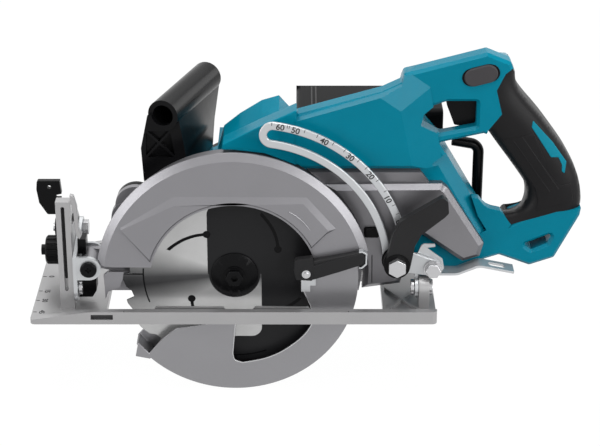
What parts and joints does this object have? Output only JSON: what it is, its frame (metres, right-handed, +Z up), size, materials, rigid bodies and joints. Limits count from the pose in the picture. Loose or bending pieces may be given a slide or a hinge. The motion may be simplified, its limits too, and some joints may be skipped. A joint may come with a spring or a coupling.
{
  "type": "cordless circular saw",
  "caption": "Rear-handle cordless circular saw: blade and guards on the near side, motor and slide-on battery on the far side, tilting base with depth guide.",
  "frame": {"origin": "on the sole of the base, in the cut plane, straight below the front depth pivot", "axes": "+X back along the cut towards the handle, +Y away from the blade side towards the motor, +Z up from the sole"},
  "size_m": [0.4495, 0.1635, 0.2864],
  "materials": {
    "teal_plastic": "satin moulded",
    "black_plastic": "fine moulded grain",
    "dark_plastic": "fine moulded grain",
    "lock_plastic": "smooth",
    "grip_rubber": "soft textured",
    "cast_magnesium": "die cast, clear painted",
    "plated_steel": "bright zinc plated",
    "black_steel": "black oxide",
    "bright_steel": "bright",
    "hard_steel": "ground",
    "blade_steel": "ground, part printed black",
    "coil_copper": "enamelled wire",
    "fan_plastic": "moulded",
    "board_green": "potted board",
    "cell_sleeve": "shrink sleeve",
    "lens_clear": "clear lens"
  },
  "bodies": {
    "base": {"base_plate": "cast_magnesium", "bevel_quadrant": "cast_magnesium", "quadrant_screws": "bright_steel", "bevel_pins": "bright_steel"},
    "carriage": {"front_bracket": "plated_steel", "rear_bracket": "plated_steel", "pivot_screw": "black_steel", "guide_pivot_bolt": "bright_steel", "bevel_clamp_bolt": "bright_steel"},
    "bevel_lever": {"bevel_lock_lever": "black_plastic"},
    "bevel_dial": {"bevel_stop_dial": "black_plastic"},
    "depth_link": {"depth_guide": "plated_steel"},
    "saw": {"upper_guard": "cast_magnesium", "bearing_box": "cast_magnesium", "spindle_bearings": "hard_steel", "motor_bearings": "hard_steel", "gear_case": "cast_magnesium", "side_cover": "dark_plastic", "depth_clamp_bolt": "black_steel", "clamp_washer": "black_steel", "motor_housing": "teal_plastic", "stator": "hard_steel", "stator_coils": "coil_copper", "motor_end_cap": "black_plastic", "handle_near": "teal_plastic", "handle_far": "teal_plastic", "handle_grip": "grip_rubber", "trigger_pin": "bright_steel", "switch_module": "black_plastic", "housing_screws": "bright_steel", "controller_board": "board_green", "battery_mount": "black_plastic", "terminal_block": "black_plastic", "hook_bracket": "black_plastic", "front_handle": "black_plastic", "front_handle_screws": "bright_steel", "lamp_housing": "black_plastic", "lamp_lens": "lens_clear", "guard_spring": "bright_steel"},
    "depth_lever": {"depth_lock_lever": "black_plastic"},
    "blade_shaft": {"spindle": "hard_steel", "driven_gear": "hard_steel", "inner_flange": "bright_steel", "blade": "blade_steel", "outer_flange": "black_steel", "arbor_bolt": "black_steel"},
    "rotor": {"rotor": "hard_steel", "pinion": "hard_steel", "cooling_fan": "fan_plastic"},
    "lower_guard": {"lower_guard": "cast_magnesium", "guard_lever": "black_plastic", "guard_clip": "plated_steel"},
    "trigger": {"trigger": "black_plastic"},
    "lock_off": {"lock_off_button": "lock_plastic"},
    "shaft_lock": {"shaft_lock_button": "black_plastic"},
    "battery": {"battery_case": "dark_plastic", "battery_cells": "cell_sleeve"},
    "battery_release": {"battery_release": "black_plastic"},
    "hook": {"rafter_hook": "black_steel"}
  },
  "joints": [
    {"name": "bevel", "type": "hinge", "parent": "base", "child": "carriage", "pos_m": [0, -0.004, 0.02], "axis": [1, 0, 0], "range_deg": [0, 50]},
    {"name": "bevel_lever", "type": "hinge", "parent": "carriage", "child": "bevel_lever", "pos_m": [-0.03, 0.045, 0.052], "axis": [1, 0, 0], "range_deg": [0, 60]},
    {"name": "bevel_dial", "type": "hinge", "parent": "base", "child": "bevel_dial", "pos_m": [-0.03, 0.045, 0.031], "axis": [1, 0, 0], "range_deg": [0, 270]},
    {"name": "depth", "type": "hinge", "parent": "carriage", "child": "saw", "pos_m": [0, 0, 0.041], "axis": [0, -1, 0], "range_deg": [0, 30]},
    {"name": "depth_link", "type": "hinge", "parent": "carriage", "child": "depth_link", "pos_m": [0.28, -0.0055, 0.038], "axis": [0, -1, 0], "range_deg": [-16.5, 0]},
    {"name": "depth_lever", "type": "hinge", "parent": "saw", "child": "depth_lever", "pos_m": [0.25, -0.012, 0.0464], "axis": [0, -1, 0], "range_deg": [0, 30]},
    {"name": "blade_spin", "type": "hinge", "parent": "saw", "child": "blade_shaft", "pos_m": [0.118, 0, 0.03], "axis": [0, 1, 0], "continuous": true},
    {"name": "rotor_spin", "type": "hinge", "parent": "saw", "child": "rotor", "pos_m": [0.118, 0.06, 0.057], "axis": [0, 1, 0], "continuous": true},
    {"name": "lower_guard_swing", "type": "hinge", "parent": "saw", "child": "lower_guard", "pos_m": [0.118, 0.007, 0.03], "axis": [0, -1, 0], "range_deg": [0, 115], "stiffness_Nm_per_rad": 0.25, "springref_deg": -68.75},
    {"name": "trigger_pull", "type": "hinge", "parent": "saw", "child": "trigger", "pos_m": [0.308, 0.035, 0.176], "axis": [0, -1, 0], "range_deg": [0, 11], "stiffness_Nm_per_rad": 0.6, "springref_deg": -11.46},
    {"name": "lock_off_push", "type": "slide", "parent": "saw", "child": "lock_off", "axis": [0, 1, 0], "range_m": [0, 0.003], "stiffness_N_per_m": 900, "springref_m": -0.002},
    {"name": "shaft_lock_push", "type": "slide", "parent": "saw", "child": "shaft_lock", "axis": [0, 1, 0], "range_m": [0, 0.003], "stiffness_N_per_m": 900, "springref_m": -0.002},
    {"name": "battery_slide", "type": "slide", "parent": "saw", "child": "battery", "axis": [1, 0, 0], "range_m": [0, 0.024]},
    {"name": "battery_release_push", "type": "slide", "parent": "battery", "child": "battery_release", "axis": [-1, 0, 0], "range_m": [0, 0.004], "stiffness_N_per_m": 700, "springref_m": -0.003},
    {"name": "hook_swing", "type": "hinge", "parent": "saw", "child": "hook", "pos_m": [0.29, 0.0603, 0.057], "axis": [-1, 0, 0], "range_deg": [0, 90]}
  ],
  "couplings": [
    {"joint": "depth_link", "follows": "depth", "ratio": -0.55},
    {"joint": "rotor_spin", "follows": "blade_spin", "ratio": -3.2857}
  ]
}
